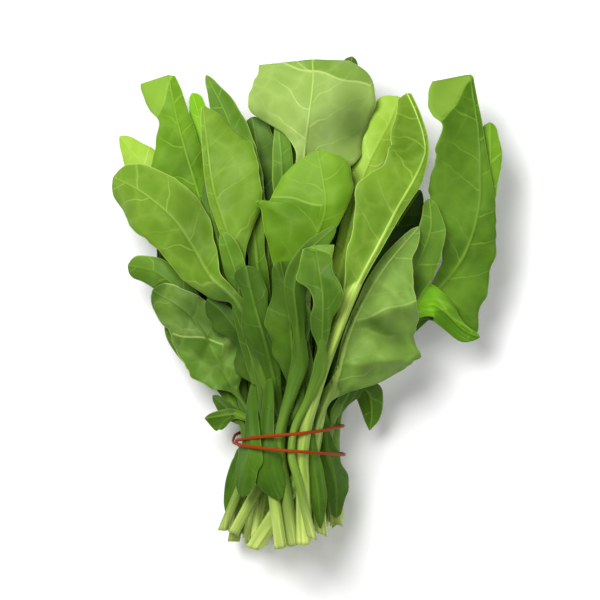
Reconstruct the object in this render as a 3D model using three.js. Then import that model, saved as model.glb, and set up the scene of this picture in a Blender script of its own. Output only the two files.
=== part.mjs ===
// A tied bunch of spinach on its back: cut stalks towards -Y, leaves fanned out towards +Y.
// Every leaf is one solid, a fleshy round stalk that flattens into the midrib of a thin, waved blade.
// An elastic band wound twice round the stalks holds the bunch. Millimetres, +Z up, the table is Z = 0.
import * as THREE from "three";

// Driving dimensions
const BUNCH_LENGTH = 296; // cut ends to the furthest leaf tip
const BLADE_THICKNESS = 0.9;
const STALK_RADIUS = 2.6;
const STALK_RANGE = [0.62, 1.1]; // how thin and how thick a stalk can be, as a part of its radius
const WING_HALF_WIDTH = 7; // the strip of blade that runs down a stalk
const RIB_HEIGHT = 1.3; // half height of the midrib where it enters the blade
const BAND_RADIUS = 1.0;
const BAND_STRAY = 8.5; // how far each of the two turns strays along the bunch
const BAND_CROSSING = -1.4; // where round the bunch the two turns cross, in radians
const BAND_SEGMENTS = 88;
const BAND_SIDES = 6;
const AIR_GAP = 0.45; // between neighbouring leaves, and between the leaves and the band
const SEED = 43;
const INNER_GREEN = 0x628030;
const TOP_GREEN = 0xa2bf61;
const BAND_RED = 0xb8401c;

// The bunch as seen from above, in pixels of the 600 x 600 photograph
const PHOTO_SPAN = 494; // BUNCH_LENGTH as it is seen
const PHOTO_ORIGIN = [306, 303];
const PHOTO_WAIST = 441; // row of the elastic band
const PHOTO_CUT = 545; // row of the lowest cut ends
const MM_PER_PIXEL = BUNCH_LENGTH / PHOTO_SPAN;

// The stalks at the band: an oval of rows
const WAIST_HALF_WIDTH = 29;
const WAIST_HALF_DEPTH = 23;
const WAIST_AXIS = -9;
const ROW_PITCH = 6.3;
const STALK_PITCH = 6.8;
const FAN_LEVEL = 25; // above the band, where the stalks have begun to spread

// The cut ends: lowest left of the middle and further up towards both sides
const CUT_LOWEST = [-34, -20];
const CUT_SLANT = 0.34;
const CUT_UNEVEN = 3.5;

// The leaves seen in the photograph. Each blade follows its midrib from base to tip, with half widths to the
// left and right of it at even steps. Depth runs from -1 at the table to 1 on top. Edge is how far the left
// and right margins bend up, drop is how far the tip bends down, and wave is how high the margin's waves are.
// Cut is where the stalk ends.
const SEEN_LEAVES = [
  {
    name: "leaf_top", depth: 0.5, columns: 6,
    blade: [[303, 215], [303, 185], [304, 155], [309, 115], [313, 80], [312, 61]],
    left: [3, 5, 7, 8, 9, 24, 56, 62, 60, 57, 53],
    right: [4, 12, 28, 44, 56, 55, 58, 62, 64, 56, 33],
    edge: [-6, -8], drop: 14, wave: 1.6,
  },
  {
    name: "leaf_centre", depth: 0.84, columns: 6, stalk: 1.4, cut: [254, 548],
    blade: [[291, 300], [303, 262], [320, 228], [325, 205], [322, 180], [317, 152]],
    left: [4, 20, 38, 58, 67, 66, 52, 37, 8],
    right: [4, 6, 8, 10, 14, 20, 30, 28, 8],
    edge: [-4, -3], drop: 5, wave: 2.2,
  },
  {
    name: "leaf_left_centre", depth: 0.72, columns: 6,
    blade: [[247, 295], [236, 258], [225, 225], [214, 190], [208, 150], [203, 107]],
    left: [3, 5, 7, 8, 8, 7, 6, 5, 2],
    right: [3, 6, 14, 38, 46, 48, 46, 28, 4],
    edge: [-7, -3], drop: 6, wave: 1.8,
  },
  {
    name: "leaf_left_behind", depth: 0.42, columns: 4,
    blade: [[258, 270], [252, 220], [243, 170], [228, 120], [206, 76]],
    left: [3, 14, 20, 22, 18, 12, 3],
    right: [3, 10, 16, 18, 17, 12, 3],
    edge: [-3, 4], drop: 6, wave: 1.5,
  },
  {
    name: "leaf_left_tall", depth: 0.55, columns: 6,
    blade: [[214, 245], [203, 210], [194, 180], [185, 150], [176, 115], [168, 76]],
    left: [4, 14, 30, 46, 40, 28, 18, 29, 29],
    right: [4, 8, 10, 14, 16, 15, 13, 11, 6],
    edge: [-6, -4], drop: 9, wave: 1.6,
  },
  {
    name: "leaf_left_sliver", depth: 0.3, columns: 2,
    blade: [[222, 215], [212, 170], [203, 130], [192, 94]],
    left: [3, 10, 12, 12, 4],
    right: [3, 8, 8, 10, 8],
    edge: [-2, -2], drop: 4, wave: 1.2,
  },
  {
    name: "leaf_far_left", depth: 0.28, columns: 4,
    blade: [[190, 235], [165, 195], [140, 163], [119, 137]],
    left: [3, 14, 18, 16, 3],
    right: [3, 16, 22, 18, 6],
    edge: [-3, -3], drop: 6, wave: 1.5,
  },
  {
    name: "leaf_left_big", depth: 0.76, columns: 6, stalk: 1.0, cut: [233, 534],
    blade: [[250, 325], [233, 297], [213, 280], [195, 250], [176, 222], [152, 200], [134, 188], [113, 178]],
    left: [3, 5, 16, 26, 30, 34, 36, 28, 12],
    right: [3, 4, 8, 16, 26, 32, 30, 26, 14],
    edge: [-5, 3], drop: 6, wave: 2,
  },
  {
    name: "leaf_left_mid", depth: 0.62, columns: 2,
    blade: [[236, 300], [222, 255], [212, 215], [206, 182]],
    left: [3, 8, 12, 10, 4],
    right: [3, 6, 8, 8, 5],
    edge: [-2, 3], drop: 3, wave: 1,
  },
  {
    name: "leaf_left_small", depth: 0.75, columns: 2,
    blade: [[242, 310], [238, 280], [230, 255], [222, 233]],
    left: [3, 8, 11, 9, 3],
    right: [3, 8, 11, 12, 5],
    edge: [-2, 2], drop: 3, wave: 1,
  },
  {
    name: "leaf_low_left_tip", depth: 0.34, columns: 4,
    blade: [[232, 355], [205, 318], [180, 292], [155, 272], [127, 266]],
    left: [3, 6, 10, 15, 16, 11],
    right: [3, 6, 9, 13, 14, 10],
    edge: [-4, -3], drop: 8, wave: 1.2,
  },
  {
    name: "leaf_low_left", depth: 0.66, columns: 6,
    blade: [[235, 392], [228, 380], [213, 352], [188, 315], [152, 291]],
    left: [3, 22, 31, 34, 31, 28, 25, 20, 9],
    right: [3, 21, 25, 25, 24, 21, 19, 16, 10],
    edge: [-3, -4], drop: 8, wave: 2,
  },
  {
    name: "leaf_low_left_behind", depth: 0.4, columns: 4,
    blade: [[236, 412], [222, 385], [200, 362], [180, 345], [164, 325]],
    left: [3, 8, 12, 13, 10, 3],
    right: [3, 8, 12, 12, 9, 3],
    edge: [3, -3], drop: 5, wave: 1.2,
  },
  {
    name: "leaf_left_inner", depth: 0.74, columns: 4, cut: [222, 532],
    blade: [[270, 412], [258, 375], [240, 335], [222, 312], [207, 300]],
    left: [3, 6, 21, 8, 20, 8],
    right: [3, 8, 12, 19, 9, 6],
    edge: [-3, -3], drop: 4, wave: 1.5,
  },
  {
    name: "leaf_centre_left", depth: 0.8, columns: 4, stalk: 1.15,
    blade: [[280, 412], [274, 380], [263, 335], [253, 300], [246, 267]],
    left: [3, 6, 12, 20, 9, 15],
    right: [3, 6, 12, 9, 16, 11],
    edge: [-3, 2], drop: 4, wave: 1.5,
  },
  {
    name: "leaf_centre_low", depth: 0.88, columns: 4, stalk: 1.15, cut: [281, 547],
    blade: [[295, 412], [294, 370], [290, 325], [285, 285], [280, 262]],
    left: [3, 8, 19, 24, 14, 9],
    right: [3, 9, 13, 22, 17, 14],
    edge: [-4, -2], drop: 4, wave: 1.6,
  },
  {
    name: "leaf_fold_left", depth: 0.9, columns: 4, stalk: 1.15, cut: [294, 544],
    blade: [[299, 365], [297, 320], [294, 287], [306, 256], [335, 228]],
    left: [3, 5, 9, 11, 8, 3],
    right: [3, 6, 10, 16, 14, 4],
    edge: [2, -5], drop: 3, wave: 1.4,
  },
  {
    name: "leaf_fold_right", depth: 0.95, columns: 4, stalk: 0.8, cut: [312, 537],
    blade: [[318, 375], [322, 330], [322, 295], [318, 268], [315, 247]],
    left: [3, 4, 13, 9, 23, 12],
    right: [3, 4, 8, 20, 13, 18],
    edge: [3, 3], drop: 3, wave: 2,
  },
  {
    name: "leaf_right_tall", depth: 0.92, columns: 6, stalk: 1.3, bare: true, cut: [303, 543],
    blade: [[340, 322], [354, 290], [378, 245], [397, 208], [414, 178], [424, 152], [417, 120], [406, 95]],
    left: [4, 10, 24, 32, 46, 34, 36, 30, 10],
    right: [4, 4, 4, 5, 7, 9, 4, 4, 4],
    edge: [4, -5], drop: 7, wave: 1.5,
  },
  {
    name: "leaf_right_behind", depth: 0.38, columns: 4,
    blade: [[350, 225], [360, 185], [376, 148], [390, 122], [399, 98]],
    left: [3, 8, 14, 22, 24, 16],
    right: [3, 8, 14, 14, 10, 4],
    edge: [-3, -3], drop: 5, wave: 1.4,
  },
  {
    name: "leaf_right_low", depth: 0.86, columns: 6, stalk: 1.1, bare: true, cut: [321, 534],
    blade: [[338, 372], [346, 340], [360, 308], [384, 268], [418, 228]],
    left: [3, 4, 5, 6, 8, 8, 7, 3],
    right: [40, 70, 75, 58, 54, 30, 15, 4],
    edge: [-3, 5], drop: 5, wave: 2.6,
  },
  {
    name: "leaf_right_inner", depth: 0.68, columns: 4,
    blade: [[372, 345], [395, 300], [418, 262], [430, 228], [428, 200]],
    left: [3, 6, 9, 10, 12, 6],
    right: [3, 9, 19, 20, 15, 5],
    edge: [3, 4], drop: 2, wave: 1.5,
  },
  {
    name: "leaf_right_big", depth: 0.58, columns: 6,
    blade: [[400, 322], [428, 299], [460, 262], [477, 215], [480, 170], [477, 125], [473, 98], [470, 75]],
    left: [3, 6, 8, 13, 24, 39, 49, 51, 48, 43, 35, 49, 38],
    right: [4, 12, 60, 42, 32, 26, 19, 13, 9, 6, 5, 4, 3],
    edge: [4, -2], drop: 9, wave: 1.8,
  },
  {
    name: "leaf_right_edge", depth: 0.36, columns: 2,
    blade: [[478, 255], [486, 205], [490, 160], [490, 123]],
    left: [3, 8, 9, 10, 8],
    right: [3, 7, 9, 12, 6],
    edge: [-2, -2], drop: 4, wave: 1,
  },
  {
    name: "leaf_right_curl", depth: 0.64, columns: 4,
    blade: [[388, 342], [405, 322], [420, 310], [436, 306], [452, 320], [466, 332], [480, 338]],
    left: [3, 5, 14, 30, 13, 7, 5, 3],
    right: [3, 4, 5, 9, 15, 13, 12, 5],
    edge: [-2, 3], drop: 4, wave: 1,
  },
  {
    name: "leaf_right_small", depth: 0.44, columns: 2,
    blade: [[340, 408], [352, 390], [366, 391], [372, 410], [370, 432]],
    left: [3, 9, 14, 13, 9, 2],
    right: [3, 9, 13, 13, 9, 2],
    edge: [-2, -2], drop: 4, wave: 1,
  },
  {
    name: "leaf_right_strip", depth: 0.7, columns: 2, cut: [337, 526],
    blade: [[332, 420], [344, 400], [354, 380], [360, 362]],
    left: [3, 6, 7, 6, 3],
    right: [3, 6, 8, 7, 3],
    edge: [2, -2], drop: 2, wave: 1,
  },
  {
    name: "leaf_right_dark", depth: 0.6, columns: 2,
    blade: [[330, 424], [342, 400], [358, 382], [382, 372]],
    left: [3, 9, 12, 10, 3],
    right: [3, 8, 12, 11, 4],
    edge: [3, -3], drop: 3, wave: 1.4,
  },
  {
    name: "leaf_low_sprout", depth: 0.52, columns: 2,
    blade: [[250, 424], [238, 416], [219, 417], [204, 420]],
    left: [3, 3, 8, 18, 3],
    right: [3, 4, 6, 5, 2],
    edge: [-2, -1], drop: 2, wave: 0.6,
  },
  {
    name: "leaf_low_scrap", depth: 0.46, columns: 2,
    blade: [[243, 426], [229, 412], [212, 397]],
    left: [3, 8, 8, 3],
    right: [3, 6, 6, 3],
    edge: [-2, -1], drop: 2, wave: 0.6,
  },
  {
    name: "leaf_top_tip", depth: 0.16, columns: 2,
    blade: [[332, 220], [338, 160], [345, 105], [352, 57]],
    left: [3, 12, 14, 14, 8],
    right: [3, 12, 14, 13, 6],
    edge: [-2, -2], drop: 3, wave: 1.2,
  },
  {
    name: "leaf_inner_dark", depth: 0.26, columns: 2,
    blade: [[270, 280], [266, 220], [260, 165], [252, 118]],
    left: [3, 14, 18, 16, 8],
    right: [3, 14, 18, 20, 14],
    edge: [-2, 2], drop: 2, wave: 1.2,
  },
  {
    name: "leaf_inner_back", depth: 0.2, columns: 2,
    blade: [[298, 290], [294, 225], [291, 170], [287, 126]],
    left: [3, 14, 18, 16, 8],
    right: [3, 14, 18, 16, 8],
    edge: [-2, 2], drop: 2, wave: 1,
  },
  {
    name: "leaf_inner_narrow", depth: 0.48, columns: 2,
    blade: [[285, 240], [283, 200], [281, 160], [278, 122]],
    left: [3, 8, 10, 8, 3],
    right: [3, 9, 12, 11, 6],
    edge: [2, -2], drop: 2, wave: 0.8,
  },
];

// Short leaves tucked in head down: their tips hang below the band.
const TUCKED_LEAVES = [
  {
    name: "tucked_leaf_far_left", depth: 0.69, columns: 2,
    blade: [[257, 412], [250, 446], [236, 482], [226, 517]],
    left: [2, 5, 10, 11, 3],
    right: [2, 7, 12, 10, 3],
    edge: [-2, -2], drop: 3, wave: 1,
  },
  {
    name: "tucked_leaf_left", depth: 0.97, columns: 2,
    blade: [[254, 385], [252, 412], [252, 445], [246, 468], [243, 497]],
    left: [2, 5, 7, 9, 14, 12, 4],
    right: [2, 5, 7, 9, 13, 10, 4],
    edge: [-2, -2], drop: 3, wave: 1,
  },
  {
    name: "tucked_leaf_inner", depth: 0.96, columns: 2,
    blade: [[270, 378], [268, 410], [266, 442], [269, 470], [280, 500]],
    left: [2, 5, 7, 9, 16, 13, 4],
    right: [2, 5, 7, 9, 16, 14, 4],
    edge: [-2, -2], drop: 3, wave: 0.8,
  },
  {
    name: "tucked_leaf_mid", depth: 0.81, columns: 2,
    blade: [[290, 412], [288, 452], [290, 490], [294, 524]],
    left: [2, 5, 9, 8, 3],
    right: [2, 5, 9, 9, 3],
    edge: [-2, -2], drop: 3, wave: 1,
  },
  {
    name: "tucked_leaf_narrow", depth: 0.91, columns: 2,
    blade: [[308, 408], [311, 452], [317, 490], [320, 528]],
    left: [2, 5, 9, 9, 3],
    right: [2, 5, 9, 8, 3],
    edge: [-2, -2], drop: 3, wave: 1,
  },
  {
    name: "tucked_leaf_right", depth: 0.83, columns: 2,
    blade: [[322, 405], [326, 448], [335, 486], [336, 519]],
    left: [2, 6, 13, 12, 4],
    right: [2, 6, 13, 11, 4],
    edge: [-2, -2], drop: 3, wave: 1,
  },
];

// The leaves out of sight are fanned evenly, from the table up to the middle of the bunch.
const HIDDEN_LEAVES = 14;
const HIDDEN_FAN = 0.54; // radians from the axis to the outermost leaf
const HIDDEN_REACH = 200; // band to tip
const HIDDEN_HALF_WIDTH = 23;

const STALK_STEP = 17; // longest facet along a stalk
const BLADE_STEP = 9.5; // longest facet along a blade
const RISE_SLOPE = 0.22; // how steeply a leaf climbs over what lies below it
const CELL = 0.6; // of the height map

const { clamp, lerp, smoothstep } = THREE.MathUtils;
const random = seededRandom(SEED);

function seededRandom(seed) {
  let state = seed;
  return () => {
    state = (state * 16807) % 2147483647;
    return state / 2147483647;
  };
}

function fromPhoto([column, row]) {
  return new THREE.Vector3(
    (column - PHOTO_ORIGIN[0]) * MM_PER_PIXEL,
    (PHOTO_ORIGIN[1] - row) * MM_PER_PIXEL,
    0,
  );
}

const WAIST_Y = fromPhoto([0, PHOTO_WAIST]).y;
const CUT_Y = fromPhoto([0, PHOTO_CUT]).y;

// The envelope of the bunch: narrow at the band, a broad lens at the crown, thinner at the tips.
function envelopeAt(y) {
  const past = y - WAIST_Y;
  const spread = smoothstep(past, 0, 150);
  const tips = smoothstep(past, 150, 245);
  const below = smoothstep(-past, 0, 55);
  return {
    axis: lerp(WAIST_AXIS, 0, spread) - 3 * below,
    halfWidth: lerp(WAIST_HALF_WIDTH, 126, spread) + 6 * below,
    halfDepth: lerp(WAIST_HALF_DEPTH, 47, spread) - 12 * tips,
    centre: lerp(27, 46, spread) - 3 * tips - 5.8 * below,
    roundness: lerp(0.5, 1, spread),
  };
}

function heightAt(x, y, depth) {
  const envelope = envelopeAt(y);
  const across = clamp((x - envelope.axis) / envelope.halfWidth, -0.98, 0.98);
  return envelope.centre + depth * envelope.halfDepth * (1 - across * across) ** envelope.roundness;
}

// Values at even steps, read smoothly in between.
function alongSteps(values, t) {
  const place = clamp(t, 0, 1) * (values.length - 1);
  const step = Math.min(Math.floor(place), values.length - 2);
  return lerp(values[step], values[step + 1], smoothstep(place - step, 0, 1));
}

function hiddenLeaf(index) {
  const rank = Math.max(index - 2, 0) / (HIDDEN_LEAVES - 3);
  const turn = ((index * 5) % HIDDEN_LEAVES) / (HIDDEN_LEAVES - 1);
  const angle = lerp(-HIDDEN_FAN, HIDDEN_FAN, turn);
  const reach = HIDDEN_REACH * (1 - 0.22 * Math.abs(angle)) * lerp(0.84, 1, random());
  const start = new THREE.Vector3(WAIST_AXIS, WAIST_Y, 0);
  const points = [0.42, 0.62, 0.82, 1].map((part) => {
    const bend = angle * lerp(0.75, 1.05, part);
    return new THREE.Vector3(Math.sin(bend), Math.cos(bend), 0).multiplyScalar(reach * part).add(start);
  });
  const half = HIDDEN_HALF_WIDTH * lerp(0.75, 1.1, random());
  const widths = [2, 0.6 * half, 0.95 * half, half, 0.75 * half, 3];
  return {
    name: `leaf_hidden_${index + 1}`,
    depth: lerp(-1.16, 0.1, rank),
    columns: 2,
    points,
    left: widths,
    right: widths,
    edge: [lerp(-6, 8, random()), lerp(-6, 8, random())],
    drop: lerp(-5, 6, random()),
    wave: 2.4,
  };
}

function placed(leaf) {
  const points = leaf.points ?? leaf.blade.map(fromPhoto);
  const scale = leaf.points ? 1 : MM_PER_PIXEL;
  return {
    ...leaf,
    points,
    left: leaf.left.map((width) => width * scale),
    right: leaf.right.map((width) => width * scale),
    stalk: leaf.stalk ?? lerp(...STALK_RANGE, random()),
    phase: random() * Math.PI * 2,
  };
}

// Places for the stalks inside the band, row by row from the table up.
function waistRows(count) {
  const rows = [];
  const levels = Math.floor((WAIST_HALF_DEPTH - STALK_RADIUS) / ROW_PITCH);
  for (let level = -levels; level <= levels; level += 1) {
    const height = level * ROW_PITCH;
    const half = WAIST_HALF_WIDTH * Math.sqrt(1 - (height / WAIST_HALF_DEPTH) ** 2) - STALK_RADIUS;
    rows.push({ height, half, places: Math.floor((2 * half) / STALK_PITCH) + 1 });
  }
  const total = rows.reduce((sum, row) => sum + row.places, 0);
  let spare = total - count;
  for (let row = 0; spare > 0; row = (row + 1) % rows.length) {
    rows[row].places -= 1;
    spare -= 1;
  }
  return rows;
}

// Where a leaf passes a level a little above the band, which orders the stalks of a row.
function fanPosition(leaf) {
  const level = WAIST_Y + FAN_LEVEL;
  const path = [new THREE.Vector3(WAIST_AXIS, WAIST_Y, 0), ...leaf.points];
  const above = path.findIndex((point) => point.y >= level);
  if (above < 0) {
    return path[path.length - 1].x;
  }
  const [from, to] = [path[above - 1], path[above]];
  return lerp(from.x, to.x, (level - from.y) / (to.y - from.y));
}

function giveWaistPlaces(leaves) {
  const queue = [...leaves].sort((a, b) => a.depth - b.depth);
  for (const row of waistRows(leaves.length)) {
    const members = queue.splice(0, row.places).sort((a, b) => fanPosition(a) - fanPosition(b));
    members.forEach((leaf, index) => {
      const part = members.length > 1 ? (2 * index) / (members.length - 1) - 1 : 0;
      leaf.waist = { x: WAIST_AXIS + part * row.half, height: row.height };
    });
  }
}

// The midrib seen from above, from the cut end through the band to the tip.
function midrib(leaf) {
  if (!leaf.waist) {
    return { curve: new THREE.CatmullRomCurve3(leaf.points, false, "centripetal"), bladeStart: 0 };
  }
  const { x } = leaf.waist;
  const flare = WAIST_AXIS + (x - WAIST_AXIS) * 1.22 - 4;
  const uneven = lerp(-CUT_UNEVEN, CUT_UNEVEN, random());
  const slanted = CUT_SLANT * Math.max(flare - CUT_LOWEST[1], CUT_LOWEST[0] - flare, 0);
  const cut = leaf.cut ? fromPhoto(leaf.cut) : new THREE.Vector3(flare, CUT_Y + uneven + slanted, 0);
  const below = new THREE.Vector3(lerp(cut.x, x, 0.55), lerp(cut.y, WAIST_Y, 0.5), 0);
  const waist = new THREE.Vector3(x, WAIST_Y, 0);
  const stalk = [cut, below, waist];
  const base = leaf.points[0];
  if (base.y - WAIST_Y > 45) {
    stalk.push(new THREE.Vector3(lerp(x, base.x, 0.42), lerp(WAIST_Y, base.y, 0.5), 0));
  }
  const curve = new THREE.CatmullRomCurve3([...stalk, ...leaf.points], false, "centripetal");
  const lengths = curve.getLengths(400);
  const knot = stalk.length / (stalk.length + leaf.points.length - 1);
  return { curve, bladeStart: lengths[Math.round(knot * 400)] / lengths[400] };
}

// A leaf as rows of stations across its midrib: plan position, middle height and half thickness.
function leafStations(leaf) {
  const { curve, bladeStart } = midrib(leaf);
  const length = curve.getLength();
  const stalkSteps = Math.ceil((length * bladeStart) / STALK_STEP);
  const bladeSteps = Math.max(6, Math.ceil((length * (1 - bladeStart)) / BLADE_STEP));
  const { columns } = leaf;
  const stations = [];
  for (let row = 0; row <= stalkSteps + bladeSteps; row += 1) {
    const onBlade = row - stalkSteps;
    const t = clamp(onBlade / bladeSteps, 0, 1);
    const at = onBlade < 0 ? (bladeStart * row) / stalkSteps : lerp(bladeStart, 1, t);
    const point = curve.getPointAt(at);
    const tangent = curve.getTangentAt(at);
    const winged = leaf.bare ? 0 : 0.75 * smoothstep(point.y, WAIST_Y + 16, WAIST_Y + 60);
    const flat = onBlade < 0 ? winged : lerp(winged, 1, smoothstep(t, 0, 0.3));
    const stalkTaper = lerp(1.05, 0.8, clamp(at / Math.max(bladeStart, 0.01), 0, 1));
    const stalkRadius = leaf.stalk * STALK_RADIUS * stalkTaper;
    const stalkHalf = lerp(stalkRadius, WING_HALF_WIDTH, winged);
    const rib = lerp(RIB_HEIGHT, BLADE_THICKNESS * 0.55, t);
    const waistDepth = leaf.waist ? leaf.waist.height / waistHalfDepthAt(leaf.waist.x) : leaf.depth;
    const depth = lerp(waistDepth, leaf.depth, smoothstep(point.y, WAIST_Y, WAIST_Y + 75));
    const line = [];
    for (let column = 0; column <= columns; column += 1) {
      const even = (2 * column) / columns - 1;
      const across = lerp(even, Math.sign(even) * Math.abs(even) ** 1.35, flat);
      const side = across < 0 ? 0 : 1;
      const bladeHalf = alongSteps(side ? leaf.right : leaf.left, t);
      const stem = leaf.waist ? lerp(stalkHalf, 1.2, smoothstep(t, 0, 0.3)) : 0;
      const half = onBlade < 0 ? stalkHalf : Math.max(bladeHalf, stem);
      const x = point.x + across * half * tangent.y;
      const y = point.y - across * half * tangent.x;
      const out = Math.abs(across);
      const ripple = Math.sin(leaf.phase + side * 1.7 + t * (7 + 5 * side));
      const grown = smoothstep(half, 2, 12);
      const bend = flat * out ** 1.7 * grown * (leaf.edge[side] + leaf.wave * ripple);
      const tip = leaf.drop * smoothstep(t, 0.62, 1.1);
      const round = stalkRadius * Math.sqrt(1 - 0.84 * across * across);
      const thin = BLADE_THICKNESS / 2 + (rib - BLADE_THICKNESS / 2) * Math.exp(-((across * half) ** 2) / 6);
      const lie = heightAt(lerp(point.x, x, 0.55), lerp(point.y, y, 0.55), depth);
      line.push({ x, y, z: lie + bend - tip, half: lerp(round, thin, flat) });
    }
    stations.push(line);
  }
  return stations;
}

function waistHalfDepthAt(x) {
  const across = clamp((x - WAIST_AXIS) / WAIST_HALF_WIDTH, -0.98, 0.98);
  return WAIST_HALF_DEPTH * Math.sqrt(1 - across * across);
}

// A steep patch of blade is made taller, so that it stays as thick across its face.
function thickenSlopes(stations) {
  stations.forEach((line, row) => {
    const before = stations[Math.max(row - 1, 0)];
    const after = stations[Math.min(row + 1, stations.length - 1)];
    line.forEach((node, column) => {
      const left = line[Math.max(column - 1, 0)];
      const right = line[Math.min(column + 1, line.length - 1)];
      const sideways = (right.z - left.z) / Math.hypot(right.x - left.x, right.y - left.y);
      const lengthways =
        (after[column].z - before[column].z) /
        Math.max(Math.hypot(after[column].x - before[column].x, after[column].y - before[column].y), 1);
      node.half *= Math.min(Math.hypot(1, sideways, lengthways), 2);
    });
  });
}

// The height map of all that already lies on the table.
const MAP_CORNER = [-150, -170];
const MAP_SIZE = [Math.ceil(300 / CELL), Math.ceil(340 / CELL)];
const pile = new Float32Array(MAP_SIZE[0] * MAP_SIZE[1]).fill(-Infinity);

function eachFacet(stations, visit) {
  for (let row = 0; row < stations.length - 1; row += 1) {
    for (let column = 0; column < stations[row].length - 1; column += 1) {
      const [a, b] = [stations[row][column], stations[row][column + 1]];
      const [c, d] = [stations[row + 1][column], stations[row + 1][column + 1]];
      visit(a, b, d);
      visit(a, d, c);
    }
  }
}

function eachCell(a, b, c, visit) {
  const area = (b.x - a.x) * (c.y - a.y) - (c.x - a.x) * (b.y - a.y);
  if (Math.abs(area) < 1e-9) {
    return;
  }
  const reach = 0.5 * CELL;
  const sides = [[b, c], [c, a], [a, b]];
  const lengths = sides.map(([from, to]) => Math.hypot(to.x - from.x, to.y - from.y));
  const slack = lengths.map((length) => (reach * length) / Math.abs(area));
  const firstX = Math.floor((Math.min(a.x, b.x, c.x) - reach - MAP_CORNER[0]) / CELL);
  const lastX = Math.ceil((Math.max(a.x, b.x, c.x) + reach - MAP_CORNER[0]) / CELL);
  const firstY = Math.floor((Math.min(a.y, b.y, c.y) - reach - MAP_CORNER[1]) / CELL);
  const lastY = Math.ceil((Math.max(a.y, b.y, c.y) + reach - MAP_CORNER[1]) / CELL);
  for (let j = firstY; j <= lastY; j += 1) {
    for (let i = firstX; i <= lastX; i += 1) {
      const x = i * CELL + MAP_CORNER[0];
      const y = j * CELL + MAP_CORNER[1];
      const u = ((b.x - x) * (c.y - y) - (c.x - x) * (b.y - y)) / area;
      const v = ((c.x - x) * (a.y - y) - (a.x - x) * (c.y - y)) / area;
      const w = 1 - u - v;
      if (u >= -slack[0] && v >= -slack[1] && w >= -slack[2]) {
        visit(j * MAP_SIZE[0] + i, u, v, w);
      }
    }
  }
}

function facetHeight(a, b, c, u, v, w, sign) {
  const heights = [a.z + sign * a.half, b.z + sign * b.half, c.z + sign * c.half];
  const height = u * heights[0] + v * heights[1] + w * heights[2];
  return clamp(height, Math.min(...heights), Math.max(...heights));
}

// Raise a leaf where it would sink into the pile. A facet is lifted whole, and the leaf climbs gently to it.
function layOnPile(stations) {
  for (const line of stations) {
    line.forEach((node) => Object.assign(node, { rise: 0 }));
  }
  eachFacet(stations, (a, b, c) => {
    let need = 0;
    eachCell(a, b, c, (cell, u, v, w) => {
      need = Math.max(need, pile[cell] + AIR_GAP - facetHeight(a, b, c, u, v, w, -1));
    });
    for (const node of [a, b, c]) {
      node.rise = Math.max(node.rise, need);
    }
  });
  const climb = (node, from) => {
    const apart = Math.hypot(node.x - from.x, node.y - from.y);
    node.rise = Math.max(node.rise, from.rise - RISE_SLOPE * apart);
  };
  const last = stations.length - 1;
  for (let pass = 0; pass < 2; pass += 1) {
    for (let row = 0; row <= last; row += 1) {
      const line = stations[row];
      line.forEach((node, column) => {
        climb(node, stations[Math.max(row - 1, 0)][column]);
        climb(node, line[Math.max(column - 1, 0)]);
      });
    }
    for (let row = last; row >= 0; row -= 1) {
      const line = stations[row];
      for (let column = line.length - 1; column >= 0; column -= 1) {
        climb(line[column], stations[Math.min(row + 1, last)][column]);
        climb(line[column], line[Math.min(column + 1, line.length - 1)]);
      }
    }
  }
  for (const line of stations) {
    line.forEach((node) => Object.assign(node, { z: Math.max(node.z + node.rise, node.half) }));
  }
  eachFacet(stations, (a, b, c) => {
    eachCell(a, b, c, (cell, u, v, w) => {
      pile[cell] = Math.max(pile[cell], facetHeight(a, b, c, u, v, w, 1));
    });
  });
}

// Upper and lower faces share one split into triangles, so that the thin blade never crosses itself.
function leafGeometry(stations) {
  const across = stations[0].length;
  const positions = [];
  for (const line of stations) {
    line.forEach((node) => positions.push(node.x, node.y, node.z + node.half));
    line.forEach((node) => positions.push(node.x, node.y, node.z - node.half));
  }
  const top = (row, column) => row * 2 * across + column;
  const bottom = (row, column) => top(row, column) + across;
  const index = [];
  const last = stations.length - 1;
  for (let row = 0; row < last; row += 1) {
    for (let column = 0; column < across - 1; column += 1) {
      const next = column + 1;
      index.push(top(row, column), top(row, next), top(row + 1, next));
      index.push(top(row, column), top(row + 1, next), top(row + 1, column));
      index.push(bottom(row, column), bottom(row + 1, next), bottom(row, next));
      index.push(bottom(row, column), bottom(row + 1, column), bottom(row + 1, next));
    }
    index.push(top(row, 0), top(row + 1, 0), bottom(row + 1, 0));
    index.push(top(row, 0), bottom(row + 1, 0), bottom(row, 0));
    const rim = across - 1;
    index.push(top(row, rim), bottom(row + 1, rim), top(row + 1, rim));
    index.push(top(row, rim), bottom(row, rim), bottom(row + 1, rim));
  }
  for (let column = 0; column < across - 1; column += 1) {
    const next = column + 1;
    index.push(top(0, column), bottom(0, column), bottom(0, next));
    index.push(top(0, column), bottom(0, next), top(0, next));
    index.push(top(last, column), bottom(last, next), bottom(last, column));
    index.push(top(last, column), top(last, next), bottom(last, next));
  }
  const geometry = new THREE.BufferGeometry();
  geometry.setAttribute("position", new THREE.Float32BufferAttribute(positions, 3));
  geometry.setIndex(index);
  return geometry;
}

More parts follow.
